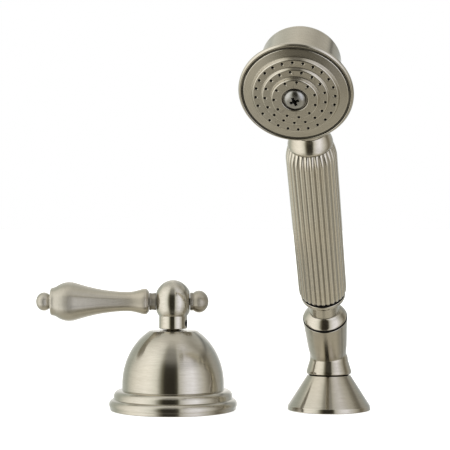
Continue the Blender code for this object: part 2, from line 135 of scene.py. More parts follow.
def supported(rows, closed, longest, guard=0.35):
    """Splits long stretches evenly and adds a guard row close to each rounded corner."""
    out = []
    pairs = list(zip(rows, rows[1:] + rows[:1] if closed else rows[1:]))
    for a, b in pairs:
        out.append(a)
        length = math.hypot(b[0] - a[0], b[1] - a[1])
        parts = math.ceil(length / longest)
        marks = [k / parts for k in range(1, parts)]
        if length > 3 * guard:
            marks = [guard / length, *marks, 1 - guard / length]
        for t in sorted(set(round(m, 5) for m in marks)):
            out.append((a[0] + (b[0] - a[0]) * t, a[1] + (b[1] - a[1]) * t, 0.0, 0.0))
    if not closed:
        out.append(rows[-1])
    return out


# ---------------------------------------------------------------- mesh helpers
def new_object(name, bm, masks=None):
    bmesh.ops.recalc_face_normals(bm, faces=bm.faces)
    mesh = bpy.data.meshes.new(name)
    bm.to_mesh(mesh)
    bm.free()
    for label in ("wear", "grime_and_shade"):
        mask = mesh.attributes.new(label, "FLOAT", "POINT")
        if masks:
            mask.data.foreach_set("value", masks[label])
    thing = bpy.data.objects.new(name, mesh)
    bpy.context.scene.collection.objects.link(thing)
    return thing


def spot_on_ring(radius, turn, height):
    return radius * math.cos(turn) * MM, radius * math.sin(turn) * MM, height * MM


def lathe(name, points, where, steps=96, edge=0.18, longest=1.6):
    """Turns a profile that runs down its outer side round the local Z axis."""
    solid = points[0][0] == 0.0 and points[-1][0] == 0.0
    rows = supported(softened(points, not solid, edge), not solid, longest)
    bm = bmesh.new()
    wear, grime_and_shade, rings = [], [], []
    for r, z, worn, dirty in rows:
        count = 1 if r < 1e-6 else steps
        ring = []
        for k in range(count):
            turn = 2 * math.pi * k / steps
            ring.append(bm.verts.new(spot_on_ring(r, turn, z)))
            wear.append(worn)
            grime_and_shade.append(dirty)
        rings.append(ring)
    for low, high in zip(rings, rings[1:] if solid else rings[1:] + rings[:1]):
        for k in range(steps):
            n = (k + 1) % steps
            corners = [low[k % len(low)], low[n % len(low)],
                       high[n % len(high)], high[k % len(high)]]
            corners = list(dict.fromkeys(corners))
            if len(corners) > 2:
                bm.faces.new(corners)
    thing = new_object(name, bm, {"wear": wear, "grime_and_shade": grime_and_shade})
    thing.matrix_world = where
    return thing


def tapered_bar(name, length, width, top, bottom, shrink, where):
    """A block along local X whose foot is smaller than its top, for driver slots."""
    bm = bmesh.new()
    bmesh.ops.create_cube(bm, size=1.0)
    for v in bm.verts:
        scale = 1.0 if v.co.z > 0 else shrink
        v.co.x *= length * scale * MM
        v.co.y *= width * scale * MM
        v.co.z = (top if v.co.z > 0 else bottom) * MM
    thing = new_object(name, bm)
    thing.matrix_world = where
    return thing


def prism(name, sides, radius, low, high, where):
    bm = bmesh.new()
    bmesh.ops.create_cone(
        bm, cap_ends=True, segments=sides, radius1=radius * MM, radius2=radius * MM,
        depth=(high - low) * MM, matrix=Matrix.Translation((0, 0, (low + high) / 2 * MM)),
    )
    thing = new_object(name, bm)
    thing.matrix_world = where
    return thing


def made_of(thing, *materials):
    for material in materials:
        thing.data.materials.append(material)
    return thing


def applied(thing):
    """Replaces a piece's mesh with its modified mesh."""
    bpy.context.view_layer.update()
    graph = bpy.context.evaluated_depsgraph_get()
    mesh = bpy.data.meshes.new_from_object(thing.evaluated_get(graph))
    thing.modifiers.clear()
    thing.data = mesh
    return thing


def combine(target, operation, *others):
    for other in others:
        step = target.modifiers.new(operation.lower(), "BOOLEAN")
        step.object = other
        step.operation = operation
        step.solver = "EXACT"
        step.material_mode = "TRANSFER"
    applied(target)
    for other in others:
        bpy.data.objects.remove(other, do_unlink=True)
    return target


# ---------------------------------------------------------------- finishes
class Graph:
    """Short names for building one material's nodes."""

    def __init__(self, name):
        self.material = bpy.data.materials.new(name)
        self.material.use_nodes = True
        self.tree = self.material.node_tree
        self.shader = self.tree.nodes["Principled BSDF"]

    def node(self, kind, inputs=(), **settings):
        node = self.tree.nodes.new(kind)
        for key, value in settings.items():
            setattr(node, key, value)
        for key, value in dict(inputs).items():
            self.feed(node.inputs[key], value)
        return node

    def feed(self, socket, value):
        if isinstance(value, bpy.types.NodeSocket):
            self.tree.links.new(value, socket)
        else:
            socket.default_value = value

    def sum(self, operation, *values):
        node = self.node("ShaderNodeMath", operation=operation)
        for k, value in enumerate(values):
            self.feed(node.inputs[k], value)
        return node.outputs[0]

    def vector(self, operation, *values):
        node = self.node("ShaderNodeVectorMath", operation=operation)
        for k, value in enumerate(values):
            self.feed(node.inputs["Scale" if operation == "SCALE" and k == 1 else k], value)
        return node.outputs["Value" if operation in ("DOT_PRODUCT", "LENGTH") else "Vector"]

    def noise(self, vector, w, scale, detail=2.0, roughness=0.5):
        node = self.node(
            "ShaderNodeTexNoise",
            {"Vector": vector, "Scale": scale, "Detail": detail, "Roughness": roughness},
            noise_dimensions="4D")
        self.feed(node.inputs["W"], w)
        return node.outputs["Fac"]

    def mask(self, label):
        return self.node("ShaderNodeAttribute", attribute_name=label).outputs["Fac"]

    def blend(self, factor, a, b):
        node = self.node("ShaderNodeMix", data_type="RGBA")
        self.feed(node.inputs[0], factor)
        self.feed(node.inputs[6], a)
        self.feed(node.inputs[7], b)
        return node.outputs[2]

    def ramp(self, degrees, stops):
        """Colour by angle, from stops (degrees, colour) between -180 and 180."""
        share = self.sum("ADD", self.sum("DIVIDE", degrees, 360.0), 0.5)
        node = self.node("ShaderNodeValToRGB", {"Fac": share})
        elements = node.color_ramp.elements
        for k, (angle, tint) in enumerate(stops):
            place = angle / 360 + 0.5
            stop = elements[k] if k < 2 else elements.new(place)
            stop.position = place
            stop.color = colour(*tint)
        return node.outputs["Color"]

    def span(self, value, low, high, bottom, top, way="LINEAR"):
        """Maps value from low..high to bottom..top, held at the ends."""
        node = self.node(
            "ShaderNodeMapRange",
            {"Value": value, "From Min": low, "From Max": high, "To Min": bottom, "To Max": top},
            interpolation_type=way)
        return node.outputs["Result"]


def colour(r, g, b):
    return (r, g, b, 1.0)


LINE_SCALE, LINE_SPREAD = 1700.0, 5.0  # lines per metre across, and their drift round the axis
LONG_LINES_ROUND, LONG_LINES_ALONG = 34.0, 45.0
LINE_BUMP, LINE_HEIGHT = 0.035, 0.000012  # strength and height in metres


def metal(name, warm, cool, dark, bright, rough, axis=(0, 0, 1), origin=(0, 0, 0),
          lines="round", brushed=0.9, dirt=0.65):
    """Brushed metal.  Fine lines run round the axis, or along it when lines is "long".

    Colour drifts between warm and cool, corners are rubbed bright, inner corners are
    darkened as soiling and painted shade, and roughness and bump follow the lines, soft
    smudges and a few scratches.
    """
    g = Graph(name)
    spot = g.node("ShaderNodeTexCoord").outputs["Object"]
    spot = g.vector("SUBTRACT", spot, tuple(Vector(origin)))
    along = g.vector("DOT_PRODUCT", spot, tuple(axis))
    radial = g.vector("SUBTRACT", spot, g.vector("SCALE", tuple(axis), along))
    reach = g.vector("LENGTH", radial)
    way = g.vector("NORMALIZE", radial)
    parts = g.node("ShaderNodeSeparateXYZ", {"Vector": way}).outputs
    if lines == "round":
        shift = g.sum("ADD", g.sum("MULTIPLY", parts[1], LINE_SPREAD),
                      g.sum("MULTIPLY", parts[2], 0.7 * LINE_SPREAD))
        fine = g.node("ShaderNodeCombineXYZ", {
            "X": g.sum("MULTIPLY", reach, LINE_SCALE),
            "Y": g.sum("MULTIPLY", along, LINE_SCALE),
            "Z": g.sum("MULTIPLY", parts[0], LINE_SPREAD)}).outputs[0]
    else:
        fine = g.node("ShaderNodeCombineXYZ", {
            "X": g.sum("MULTIPLY", parts[0], LONG_LINES_ROUND),
            "Y": g.sum("MULTIPLY", parts[1], LONG_LINES_ROUND),
            "Z": g.sum("MULTIPLY", along, LONG_LINES_ALONG)}).outputs[0]
        shift = g.sum("MULTIPLY", parts[2], LONG_LINES_ROUND)
    broad = g.noise(fine, shift, 0.35, 1.0)
    narrow = g.noise(fine, shift, 1.0, 3.0, 0.62)
    hair = g.noise(fine, shift, 2.7, 2.0, 0.7)
    line = g.sum("ADD", g.sum("MULTIPLY", narrow, 0.62), g.sum("MULTIPLY", hair, 0.38))
    smudge = g.noise(spot, 0.0, 70.0, 3.0, 0.55)
    cloud = g.noise(spot, 3.0, 21.0, 2.0)
    scratch = g.node("ShaderNodeTexVoronoi", {
        "Vector": g.node("ShaderNodeMapping", {
            "Vector": spot, "Rotation": (0.4, 0.9, 0.3), "Scale": (1.0, 14.0, 14.0),
        }).outputs[0], "Scale": 34.0}, feature="DISTANCE_TO_EDGE").outputs["Distance"]
    scratch = g.span(scratch, 0.0, 0.012, 1.0, 0.0)
    scratch = g.sum("MULTIPLY", scratch, g.span(smudge, 0.52, 0.62, 0.0, 1.0))
    wear = g.sum("MULTIPLY", g.mask("wear"), g.span(smudge, 0.25, 0.6, 0.55, 1.0))
    # Inner corners and valleys darken by this mask: soiling and painted shade.
    grime_and_shade = g.sum("MULTIPLY", g.mask("grime_and_shade"), g.span(cloud, 0.3, 0.65, 0.5, 1.0))

    tone = g.blend(g.span(cloud, 0.35, 0.65, 0.0, 1.0), colour(*warm), colour(*cool))
    tone = g.blend(g.span(line, 0.36, 0.62, 0.16, 0.0), tone, colour(*dark))
    tone = g.blend(g.span(broad, 0.4, 0.62, 0.0, 0.09), tone, colour(*bright))
    tone = g.blend(g.sum("MULTIPLY", wear, 0.6), tone, colour(*bright))
    tone = g.blend(g.sum("MULTIPLY", grime_and_shade, dirt), tone, colour(*dark))
    g.feed(g.shader.inputs["Base Color"], tone)

    gloss = g.sum("ADD", g.span(line, 0.3, 0.7, rough + 0.03, rough - 0.03),
                  g.span(smudge, 0.3, 0.7, -0.02, 0.025))
    gloss = g.sum("SUBTRACT", gloss, g.sum("MULTIPLY", wear, 0.05))
    gloss = g.sum("ADD", gloss, g.sum("MULTIPLY", grime_and_shade, 0.15))
    gloss = g.sum("ADD", gloss, g.sum("MULTIPLY", scratch, 0.04))
    g.feed(g.shader.inputs["Roughness"], gloss)

    height = g.sum("ADD", line, g.sum("MULTIPLY", broad, 0.7))
    height = g.sum("SUBTRACT", height, g.sum("MULTIPLY", scratch, 0.08))
    bump = g.node("ShaderNodeBump", {
        "Strength": LINE_BUMP, "Distance": LINE_HEIGHT, "Height": height})
    g.feed(g.shader.inputs["Normal"], bump.outputs[0])

    # Lines that run round the axis stretch a highlight along it.
    world_axis = g.node(
        "ShaderNodeVectorTransform", {"Vector": tuple(axis)},
        vector_type="VECTOR", convert_from="OBJECT", convert_to="WORLD").outputs[0]
    normal = g.node("ShaderNodeNewGeometry").outputs["Normal"]
    round_way = g.vector("CROSS_PRODUCT", world_axis, normal)
    g.feed(g.shader.inputs["Tangent"], g.vector("NORMALIZE", round_way))
    g.shader.inputs["Metallic"].default_value = 1.0
    g.shader.inputs["Anisotropic"].default_value = brushed
    g.shader.inputs["Anisotropic Rotation"].default_value = 0.25 if lines == "round" else 0.0
    g.material.diffuse_color = colour(*warm)
    return g.material


def moulded(name, base, other, rough, grain, depth, edge_tone, specular=0.5):
    """Rubber, plastic or ceramic: a fine grain, a soft colour drift and rubbed corners."""
    g = Graph(name)
    spot = g.node("ShaderNodeTexCoord").outputs["Object"]
    speck = g.noise(spot, 0.0, grain, 3.0, 0.6)
    cloud = g.noise(spot, 5.0, 60.0, 2.0)
    tone = g.blend(g.span(cloud, 0.35, 0.65, 0.0, 1.0), colour(*base), colour(*other))
    tone = g.blend(g.span(speck, 0.4, 0.7, 0.0, 0.25), tone, colour(*edge_tone))
    tone = g.blend(g.sum("MULTIPLY", g.mask("wear"), 0.5), tone, colour(*edge_tone))
    g.feed(g.shader.inputs["Base Color"], tone)
    g.feed(g.shader.inputs["Roughness"], g.sum(
        "ADD", g.span(speck, 0.3, 0.7, rough - 0.06, rough + 0.06),
        g.span(cloud, 0.3, 0.7, -0.04, 0.04)))
    bump = g.node("ShaderNodeBump", {"Strength": depth, "Distance": 0.00004, "Height": speck})
    g.feed(g.shader.inputs["Normal"], bump.outputs[0])
    g.shader.inputs["Specular IOR Level"].default_value = specular
    g.material.diffuse_color = colour(*base)
    return g.material


NICKEL = dict(warm=(0.575, 0.53, 0.44), cool=(0.545, 0.52, 0.455), dark=(0.22, 0.19, 0.14),
              bright=(0.74, 0.70, 0.61), rough=0.165)
STEEL = dict(warm=(0.60, 0.59, 0.56), cool=(0.56, 0.57, 0.57), dark=(0.22, 0.21, 0.19),
             bright=(0.80, 0.79, 0.77), rough=0.24)
BRASS = dict(warm=(0.72, 0.53, 0.24), cool=(0.68, 0.52, 0.27), dark=(0.30, 0.20, 0.08),
             bright=(0.86, 0.70, 0.38), rough=0.33)


def nickel(name, shade=1.0, **changes):
    """Brushed nickel whose colours are scaled by shade: above 1 a painted highlight, below 1
    painted shade, giving lighter and darker copies of one finish.
    """
    recipe = {**NICKEL, **changes}
    for tint in ("warm", "cool", "bright"):
        recipe[tint] = tuple(shade * value for value in recipe[tint])
    return metal("nickel_" + name, **recipe)


def finish_piece(thing, body, node, slot, *materials):
    """Shades a piece, gives it its materials, ties it to its body, and hides the CAD node it stands
    in for.
    """
    if materials:
        thing.data.materials.clear()
        made_of(thing, *materials)
    thing.data.shade_smooth()
    smooth = thing.modifiers.new("even_shading", "WEIGHTED_NORMAL")
    smooth.keep_sharp = True
    smooth.weight = 80
    applied(thing)
    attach(thing, body)
    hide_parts(node)
    return thing


# ---------------------------------------------------------------- diverter body
turned_nickel = nickel("turned")
satin_nickel = nickel("satin", rough=0.31, brushed=0.98)
spun_nickel = nickel("spun", rough=0.23, brushed=0.9)
# A much darker copy of the nickel: painted shade for the joints at the hub and for the groove round
# the face screw.
shaded_joint_nickel = nickel("joint", shade=0.55, rough=0.31, brushed=0.98)
rubber = moulded("black_rubber", (0.004, 0.004, 0.004), (0.007, 0.007, 0.006), 0.75, 2600.0, 0.4,
                 (0.012, 0.012, 0.011), specular=0.08)
shadowed = moulded("shadowed_recess", (0.012, 0.011, 0.009), (0.02, 0.018, 0.014), 0.8, 2600.0, 0.3,
                   (0.03, 0.027, 0.02), specular=0.08)

dome_start = math.degrees(math.asin(14.1 / 30.6))
inner_start = math.degrees(math.asin(15.0 / 28.8))
bell = lathe(
    "bell_escutcheon_body",
    [(6.5, 47.7)]
    + arc(30.6, 36.5, 15.0, dome_start, 90, 48)
    + [(30.6, 12.3, 0.25), (32.2, 12.05, 0.5)]
    + arc(3.5, 3.6, 8.4, 12, 96, 12, out=32.1)
    + [(35.7, 6.9, 0.3)]
    + arc(3.1, 3.3, 3.5, 28, 118, 12, out=35.3)
    + [(37.65, 0.2, 0.3), (37.1, 0.2, 0.1), (37.1, 1.0)]
    + [(34.6, 1.0), (33.4, 6.0), (28.8, 12.0)]
    + arc(28.8, 35.3, 15.0, 90, inner_start, 20)
    + [(13.6, 45.4), (13.6, 39.5), (11.8, 39.5), (11.8, 45.4), (6.5, 45.4)],
    DIVERTER, 192)
# The bell takes a slightly darker copy of the nickel: painted shade.
finish_piece(bell, "deck_body", "bell_escutcheon", "brushed_nickel", nickel("bell", shade=0.95))

gasket = lathe("bell_gasket_ring", [(31.0, 0.7), (36.8, 0.7), (36.8, 0.0), (31.0, 0.0)],
               DIVERTER, 128, 0.1)
finish_piece(gasket, "deck_body", "bell_gasket", "black_rubber", rubber)

# ---------------------------------------------------------------- lever handle
hub_turn = math.degrees(math.asin(8.5 / 11.3))
hub_profile = arc(11.3, 12.8, 65.0, 0, 90, 30) + arc(11.3, 13.4, 65.0, 90, 180 - hub_turn, 14)[1:]
hub_profile += [(8.5, 48.7, 0.3), (0, 48.7)]
hub_profile[0] = (0.0, 77.8)
hub = lathe("hub_ball", hub_profile, DIVERTER, 128)
combine(
    made_of(hub, turned_nickel), "DIFFERENCE",
    made_of(prism("stem_socket", 48, 4.3, 40, 61.3, DIVERTER), turned_nickel),
    made_of(prism("stud_socket", 32, 2.5, -14, 14, LEVER), turned_nickel),
    # The spot faces round the two neck joints are cut with the dark joint nickel: painted shade in
    # the joints.
    made_of(prism("lever_spot_face", 64, 7.0, 9.9, 14, LEVER), shaded_joint_nickel),
    made_of(prism("finial_spot_face", 64, 7.0, 9.9, 14, FINIAL), shaded_joint_nickel),
    made_of(lathe("set_screw_hole",
                  [(0, 12), (2.1, 12), (2.1, 8.45), (1.8, 8.15), (1.8, 2), (0, 2)],
                  SET_SCREW, 32, 0.02), shadowed))
finish_piece(hub, "lever_handle", "hub", "brushed_nickel")

set_screw = lathe("set_screw_socket_head", [(0, 8.0), (1.5, 8.0, 0.2), (1.5, 4.5, 0.2), (0, 4.5)],
                  SET_SCREW, 32)
set_screw = combine(set_screw, "DIFFERENCE", prism("hex_key_way", 6, 0.85, 6.2, 9.0, SET_SCREW))
# Near-black steel for the set screw: black oxide, standing in also as painted shade down in its
# hole.
dark_steel = metal("darkened_steel", warm=(0.07, 0.068, 0.062), cool=(0.06, 0.06, 0.06),
                   dark=(0.02, 0.02, 0.018), bright=(0.16, 0.155, 0.14), rough=0.38)
finish_piece(set_screw, "lever_handle", "set_screw", "plated_steel", dark_steel)

lever_side = flowing(
    [(8.5, 71.6), (9.0, 70.3), (10.4, 67.9), (11.35, 65.5), (11.77, 63.1), (11.79, 61.9),
     (11.5, 59.5), (10.8, 57.1), (10.1, 54.7), (9.4, 52.3), (8.8, 49.9), (8.2, 47.5),
     (7.7, 45.1), (7.25, 42.7), (6.88, 40.3), (6.57, 37.9), (6.3, 35.5), (6.08, 33.1),
     (5.88, 29.5), (5.9, 26.5), (6.12, 24.3), (6.55, 22.2), (7.1, 20.1), (7.55, 18.6),
     (7.8, 17.3)], 3)
lever = lathe(
    "lever_grip",
    [(2.2, 73.4), (7.7, 73.4, 0.5), (8.35, 72.7, 0.45)] + lever_side
    + [(7.7, 15.9, 0.6), (6.1, 14.5, 0.5), (2.5, 14.5)],
    LEVER, 128)
finish_piece(lever, "lever_handle", "lever", "brushed_nickel", satin_nickel)
# The collar between the hub and the lever takes the dark joint nickel: painted shade in the joint.
lever_collar = lathe(
    "lever_collar_ring",
    [(2.5, 14.2), (5.4, 14.2, 0.3), (5.3, 13.3, 0.2), (5.0, 13.0, 0.2), (5.1, 12.0, 0.2),
     (5.4, 10.2, 0.15), (2.5, 10.2)], LEVER, 96)
finish_piece(lever_collar, "lever_handle", "lever_collar", "brushed_nickel", shaded_joint_nickel)
tip_finial = lathe(
    "lever_tip_ball",
    [(0.0, 82.2)] + arc(5.55, 4.8, 77.4, 4, 130, 30)
    + [(4.5, 73.7, 0.2), (1.9, 73.7), (1.9, 60.0), (0, 60.0)], LEVER, 96)
finish_piece(tip_finial, "lever_handle", "lever_tip_finial", "brushed_nickel", satin_nickel)
rear_finial = lathe(
    "rear_finial_ball",
    [(0.0, 21.2)] + arc(6.7, 5.7, 15.5, 4, 128, 32)
    + [(5.45, 11.6, 0.3), (5.45, 10.2, 0.15), (2.2, 10.2), (2.2, 4.9), (0, 4.9)], FINIAL, 96)
# The ball takes a darker copy of the nickel, and its neck, below FINIAL_NECK_END, the dark joint
# nickel: both painted shade, the neck's where it meets the hub.
made_of(rear_finial, nickel("finial", shade=0.88, rough=0.31, brushed=0.98), shaded_joint_nickel)
FINIAL_NECK_END = 11.8
for polygon in rear_finial.data.polygons:
    polygon.material_index = int(polygon.center.z < FINIAL_NECK_END * MM)
finish_piece(rear_finial, "lever_handle", "rear_finial", "brushed_nickel")

# ---------------------------------------------------------------- holder
flange_gasket = lathe("flange_gasket_ring", [(20.4, 0.7), (23.8, 0.7), (23.8, 0.0), (20.4, 0.0)],
                      HOLDER, 96, 0.1)
finish_piece(flange_gasket, "deck_body", "flange_gasket", "black_rubber", rubber)
cone = lathe(
    "cone_flange_body",
    [(8.9, 20.4), (12.0, 20.4), (12.0, 20.9, 0.1), (12.9, 20.9, 0.3), (24.6, 2.7, 0.8),
     (24.9, 0.2, 0.35), (24.1, 0.2, 0.1), (24.1, 1.0), (20.1, 1.0), (16.4, 9.5), (16.4, 10.5),
     (12.0, 14.0), (8.9, 14.0)], HOLDER, 160)
# The cone takes a darker copy of the nickel: painted shade.
finish_piece(cone, "deck_body", "cone_flange", "brushed_nickel",
             nickel("cone", shade=0.9, rough=0.14))
swivel_oring = lathe(
    "swivel_oring_ring",
    [(9.2, 21.3, 0.28), (11.7, 21.3, 0.28), (11.7, 20.7, 0.28), (9.2, 20.7, 0.28)],
    HOLDER, 96, 0.1)
finish_piece(swivel_oring, "deck_body", "swivel_oring", "black_rubber", rubber)

to_handset = HANDSET.inverted()
holder_axis = (to_handset.to_3x3() @ Vector((0, 0, 1))).normalized()
holder_origin = to_handset @ HOLDER.translation
# The cup and skirt take darker copies of the nickel: painted shade.
cup_nickel = nickel("cup", shade=0.87)
skirt_nickel = nickel("skirt", shade=0.9, axis=holder_axis, origin=holder_origin)

cup = lathe(
    "cradle_cup_and_skirt",
    [(0, 29.4), (13.0, 29.4, 0.25), (11.55, 8.0, 2.0)] + arc(11.0, 11.0, 0, 80, 180, 20)[:-1]
    + [(0, -11.0)], HANDSET, 128)
made_of(cup, cup_nickel)
skirt = lathe(
    "cradle_skirt",
    [(0, 33.0), (11.0, 33.0), (11.6, 29.4, 3.0), (13.5, 23.2, 0.5), (13.35, 22.0, 0.4),
     (12.9, 21.6, 0.3), (0, 21.6)], HOLDER, 128)
made_of(skirt, skirt_nickel)
cup_bore = lathe(
    "cup_bore", [(0, 32.4), (10.5, 32.4), (10.5, 5.0)] + arc(9.4, 9.4, 0, 75, 180, 12)[:-1]
    + [(0, -9.4)], HANDSET, 96, 0.02)
skirt_bore = lathe(
    "skirt_bore",
    [(0, 31.0), (10.0, 31.0), (10.0, 27.6), (8.9, 27.6), (8.9, 18.0), (0, 18.0)],
    HOLDER, 96, 0.02)
combine(cup, "UNION", skirt)
combine(cup, "DIFFERENCE", made_of(cup_bore, cup_nickel), made_of(skirt_bore, skirt_nickel))
finish_piece(cup, "cradle_holder", "cradle", "brushed_nickel")

cradle_seal = lathe("cradle_mouth_seal", [(10.5, 30.6), (13.05, 30.6, 0.2), (13.05, 29.7, 0.2),
                                          (10.5, 29.7)], HANDSET, 96, 0.1)
finish_piece(cradle_seal, "cradle_socket", "cradle_seal", "black_rubber", rubber)

# ---------------------------------------------------------------- hand shower
connector = lathe(
    "hose_connector_nut",
    [(7.7, 36.3), (8.78, 36.3, 0.1)]
    + flowing([(8.8, 36.2), (8.87, 35.8), (9.15, 35.4), (10.4, 34.3), (11.7, 32.9), (12.5, 31.8),
               (12.78, 31.0)], 4)
    + [(12.78, 30.9, 0.1), (9.3, 30.9), (8.1, 13.0, 0.4), (4.6, 13.0), (4.6, 22.0), (7.7, 22.0)],
    HANDSET, 128)
finish_piece(connector, "hand_shower", "hose_connector", "brushed_nickel", turned_nickel)

ferrule = lathe(
    "end_ferrule_neck",
    [(7.7, 54.0), (11.1, 54.0), (11.1, 48.7), (12.85, 48.7, 0.25)]
    + arc(3.55, 3.5, 47.9, 92, 170, 14, out=9.3)
    + [(9.7, 44.25, 0.25), (8.75, 44.0, 0.25), (8.75, 36.6, 0.1), (7.4, 36.6), (7.4, 24.0)]
    + [(5.1, 24.0), (5.1, 39.0), (7.7, 39.0)], HANDSET, 128)
finish_piece(ferrule, "hand_shower", "end_ferrule", "brushed_nickel", turned_nickel)
grip_seal = lathe("grip_foot_seal", [(11.4, 49.7), (12.8, 49.7, 0.25), (12.8, 49.0, 0.25),
                                     (11.4, 49.0)], HANDSET, 96, 0.1)
finish_piece(grip_seal, "hand_shower", "grip_seal", "black_rubber", rubber)


def fluted_grip(flutes=28, per_flute=14, bore=11.5):
    """Convex reeds with rounded ends, meeting in narrow valleys, round a plain bore."""
    levels = []
    for k in range(9):
        swing = math.pi / 2 * k / 8
        levels.append((50.0 + 3.4 * (1 - math.cos(swing)), 12.3 + 1.5 * math.sin(swing),
                       0.62 + 0.28 * k / 8))
    levels += [(53.4 + 93.0 * k / 38, 13.8 + 0.15 * k / 38, 0.9) for k in range(1, 39)]
    levels += [(146.4 + 8.5 * k / 14, 13.95 - 1.85 * (k / 14) ** 2, 0.9 - 0.45 * (k / 14) ** 2)
               for k in range(1, 15)]
    sides = flutes * per_flute
    bm = bmesh.new()
    rings, wear, grime_and_shade = [], [], []
    for height, radius, depth in levels:
        ring = []
        for i in range(sides):
            turn = 2 * math.pi * i / sides
            swell = abs(math.sin(flutes * turn / 2))
            r = radius - depth * (1 - swell) ** 1.2
            ring.append(bm.verts.new(spot_on_ring(r, turn, height)))
            wear.append(max(0.0, (swell - 0.93) / 0.07) * 0.45)
            # Valleys take the grime_and_shade mask, wider near the top end: painted shade in the
            # valleys and in the dark wedges between the reed tops.
            reach = 0.34 + 0.5 * max(0.0, (height - 149.5) / 5.4)
            grime_and_shade.append(max(0.0, 1 - swell / reach))
        rings.append(ring)
    for height in [levels[-1][0] - 104.9 * k / 12 for k in range(13)]:
        ring = []
        for i in range(sides):
            turn = 2 * math.pi * i / sides
            ring.append(bm.verts.new(spot_on_ring(bore, turn, height)))
            wear.append(0.0)
            grime_and_shade.append(0.0)
        rings.append(ring)
    for low, high in zip(rings, rings[1:] + rings[:1]):
        for i in range(sides):
            j = (i + 1) % sides
            bm.faces.new((low[i], low[j], high[j], high[i]))
    thing = new_object("fluted_grip_reeds", bm, {"wear": wear, "grime_and_shade": grime_and_shade})
    thing.matrix_world = HANDSET
    return thing


grip = fluted_grip()
# A lighter copy of the nickel, painted highlight on the reeds, with valleys darkened almost to
# black as painted shade.
finish_piece(grip, "hand_shower", "fluted_grip", "brushed_nickel",
             nickel("reeded", shade=1.16, brushed=0.35, rough=0.2,
                    dark=(0.06, 0.05, 0.035), dirt=0.9))

neck_collar = lathe(
    "neck_collar_bead",
    [(7.8, 163.5), (9.3, 163.5, 0.1)]
    + flowing([(9.4, 163.2), (10.5, 161.5), (11.4, 159.6), (12.05, 157.7), (12.3, 156.4)], 5)
    + [(12.15, 155.3, 0.4), (11.2, 155.3), (11.2, 150.0), (7.8, 150.0)], HANDSET, 128)
finish_piece(neck_collar, "hand_shower", "neck_collar", "brushed_nickel", turned_nickel)

neck_nickel = nickel("neck", axis=(0, 1, 0))
cup_outer = (
    [(0.0, 38.4), (28.15, 38.4, 0.35), (28.76, 37.6, 0.4), (28.76, 36.5, 0.5), (28.2, 35.6, 0.5)]
    + flowing([(26.6, 34.6), (24.9, 33.3), (23.4, 31.8), (22.1, 29.9), (21.2, 28.0),
               (20.6, 26.0), (20.4, 24.0)], 4)
    + [(20.4, 7.2, 2.2), (13.0, -0.4, 3.0), (8.0, -2.6, 3.0), (0.0, -3.4)]
)
shell = lathe("head_shell_body", cup_outer, HEAD, 192)
made_of(shell, turned_nickel)
neck_line = arc(10.6, 10.6, 213.0, 0, 90, 24)
neck_line[0] = (0.0, 223.6)
neck_line += flowing([(10.4, 205.0), (10.1, 198.0), (9.9, 191.0), (9.65, 182.0), (9.45, 173.0),
                      (9.35, 163.8)], 6)
neck_line += [(0.0, 163.8)]
# The small turns below keep facets of joined pieces from falling on top of each other.
neck = lathe("neck_solid", neck_line, HANDSET @ turned_by(0, 0, 0.013), 128)
combine(shell, "UNION", made_of(neck, neck_nickel))
cavity = lathe(
    "head_cavity",
    [(0.0, 46.0), (27.35, 46.0), (27.35, 36.5), (24.6, 36.5), (22.0, 33.4), (19.7, 29.6),
     (18.9, 27.0), (18.9, 23.8), (17.6, 23.8), (17.6, 9.8), (0.0, 9.8)], HEAD, 144, 0.1)
bore = lathe(
    "neck_bore", [(0.0, 219.0), (4.4, 217.2), (6.2, 213.0), (6.2, 174.0), (7.7, 174.0),
                  (7.7, 160.0), (0.0, 160.0)], HANDSET @ turned_by(0, 0, 0.03), 64, 0.02)
inlet = prism("inlet_bore", 48, 5.8, -1.0, 14.0, HEAD @ turned_by(0, 0, 0.04))
combine(shell, "DIFFERENCE",
        *(made_of(cutter, turned_nickel) for cutter in (cavity, bore, inlet)))
finish_piece(shell, "hand_shower", "head_shell", "brushed_nickel")

face = lathe(
    "spray_face_plate",
    [(2.4, 42.0), (6.3, 42.0, 0.2), (6.55, 43.5, 0.3), (11.5, 43.5, 0.45), (12.1, 41.6, 0.35),
     (16.2, 41.6, 0.45), (16.9, 40.5, 0.3), (21.2, 40.5, 0.45), (22.0, 38.85, 0.45),
     (26.2, 38.4, 0.35), (26.2, 36.8), (21.2, 37.0), (20.6, 38.9), (16.0, 38.9),
     (11.4, 40.0), (11.2, 41.7), (7.4, 41.7), (7.0, 40.3), (2.4, 40.3)], HEAD, 192)
# Spray holes, with chamfered mouths: (count, ring radius, first hole's angle, face height).
RINGS = ((24, 19.8, 0.0, 40.5), (17, 15.1, -5.0, 41.6), (11, 10.4, 9.3, 43.5))
HOLE_SIDES, HOLE_RADIUS, MOUTH_RADIUS = 18, 0.55, 0.78
holes = bmesh.new()
for count, ring_radius, first, top in RINGS:
    for k in range(count):
        turn = math.radians(first) + 2 * math.pi * k / count
        centre = Vector((ring_radius * math.sin(turn), ring_radius * math.cos(turn), 0)) * MM
        rings = []
        for radius, z in ((MOUTH_RADIUS, top + 1.0), (MOUTH_RADIUS, top + 0.05),
                          (HOLE_RADIUS, top - 0.2), (HOLE_RADIUS, top - 3.4)):
            rings.append([
                holes.verts.new(centre + Vector((
                    radius * math.cos(math.tau * s / HOLE_SIDES),
                    radius * math.sin(math.tau * s / HOLE_SIDES), z)) * MM)
                for s in range(HOLE_SIDES)])
        for low, high in zip(rings, rings[1:]):
            for s in range(HOLE_SIDES):
                n = (s + 1) % HOLE_SIDES
                holes.faces.new((low[s], low[n], high[n], high[s]))
        holes.faces.new(rings[0])
        holes.faces.new(rings[-1])
hole_cutter = new_object("spray_holes", holes)
hole_cutter.matrix_world = HEAD
made_of(face, spun_nickel, shaded_joint_nickel)
